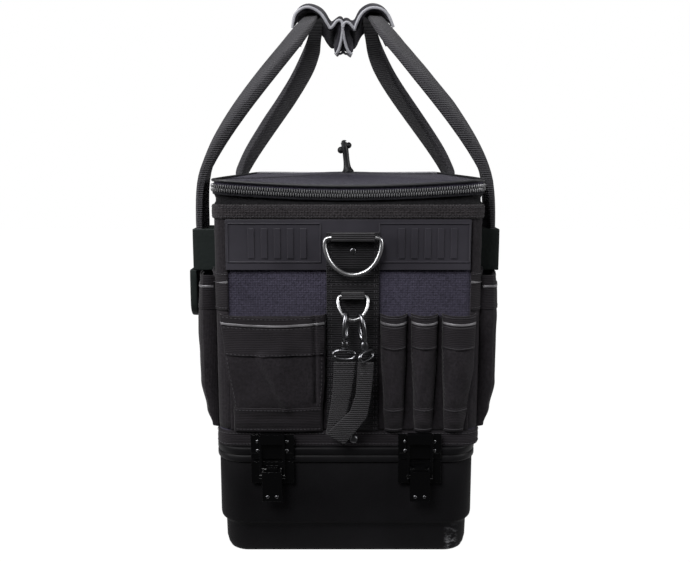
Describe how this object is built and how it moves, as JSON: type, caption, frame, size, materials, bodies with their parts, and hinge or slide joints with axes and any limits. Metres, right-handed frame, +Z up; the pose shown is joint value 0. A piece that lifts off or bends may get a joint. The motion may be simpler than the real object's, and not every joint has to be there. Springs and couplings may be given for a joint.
{
  "type": "power tool bag",
  "caption": "Tall cloth tool bag with end and side pockets, padded carry handles, zipped lid, rings with snap hooks and a hard moulded base with draw latches.",
  "frame": {"origin": "on the ground, in the middle of the footprint of the bag's box", "axes": "+Z up; the end with the rings, hooks and small pockets faces -Y; the handles are on the -X and +X sides"},
  "size_m": [0.3152, 0.4758, 0.5676],
  "materials": {
    "base": "matte black moulded",
    "cloth": "coarse navy charcoal nylon",
    "binding": "ribbed brown charcoal webbing",
    "webbing": "woven charcoal webbing",
    "grip": "padded cloth",
    "piping": "reflective light grey",
    "zip": "coil zip",
    "panel": "satin moulded",
    "rubber": "soft moulded",
    "nickel": "black nickel",
    "latch": "gloss black"
  },
  "bodies": {
    "bag": {"base_tub": "base", "base_rim": "base", "body_shell": "cloth", "hem_band": "binding", "top_binding": "binding", "lid": "cloth", "zip_chain": "zip", "lid_piping": "piping", "zip_pull": "rubber", "end_panel_front": "panel", "end_panel_rear": "panel", "webbing_front": "webbing", "webbing_rear": "webbing", "ring_keeper_front": "webbing", "ring_keeper_rear": "webbing", "ring_large_rear": "nickel", "small_keeper": "webbing", "ring_small": "nickel", "snap_hook_left": "nickel", "snap_hook_right": "nickel", "clip_strap": "webbing", "snap_button": "latch", "pocket_large": "cloth", "pocket_large_piping": "piping", "slim_pocket_1": "cloth", "slim_pocket_1_piping": "piping", "slim_pocket_2": "cloth", "slim_pocket_2_piping": "piping", "slim_pocket_3": "cloth", "slim_pocket_3_piping": "piping", "side_pocket_left": "cloth", "side_piping_left": "piping", "side_pocket_right": "cloth", "side_piping_right": "piping", "handle_left": "webbing", "grip_left": "grip", "handle_tab_left_front": "rubber", "handle_tab_left_rear": "rubber", "handle_right": "webbing", "grip_right": "grip", "handle_tab_right_front": "rubber", "handle_tab_right_rear": "rubber", "tool_loop": "cloth", "latch_plate_left": "latch", "latch_keeper_left": "latch", "rear_latch_left": "latch", "latch_plate_right": "latch", "latch_keeper_right": "latch", "rear_latch_right": "latch"},
    "large_ring": {"ring_large_front": "nickel"},
    "lever_left": {"latch_lever_left": "latch"},
    "link_left": {"latch_link_left": "latch"},
    "lever_right": {"latch_lever_right": "latch"},
    "link_right": {"latch_link_right": "latch"}
  },
  "joints": [
    {"name": "ring_swing", "type": "hinge", "parent": "bag", "child": "large_ring", "pos_m": [0.00865, -0.2207, 0.3208], "axis": [-1, 0, 0], "range_deg": [0, 165]},
    {"name": "latch_left", "type": "hinge", "parent": "bag", "child": "lever_left", "pos_m": [-0.06985, -0.2227, 0.0935], "axis": [-1, 0, 0], "range_deg": [0, 115]},
    {"name": "link_left_pin", "type": "hinge", "parent": "lever_left", "child": "link_left", "pos_m": [-0.06985, -0.2222, 0.0865], "axis": [-1, 0, 0], "range_deg": [-115, 0]},
    {"name": "latch_right", "type": "hinge", "parent": "bag", "child": "lever_right", "pos_m": [0.07415, -0.2227, 0.0935], "axis": [-1, 0, 0], "range_deg": [0, 115]},
    {"name": "link_right_pin", "type": "hinge", "parent": "lever_right", "child": "link_right", "pos_m": [0.07415, -0.2222, 0.0865], "axis": [-1, 0, 0], "range_deg": [-115, 0]}
  ],
  "couplings": [
    {"joint": "link_left_pin", "follows": "latch_left", "ratio": -1},
    {"joint": "link_right_pin", "follows": "latch_right", "ratio": -1}
  ]
}
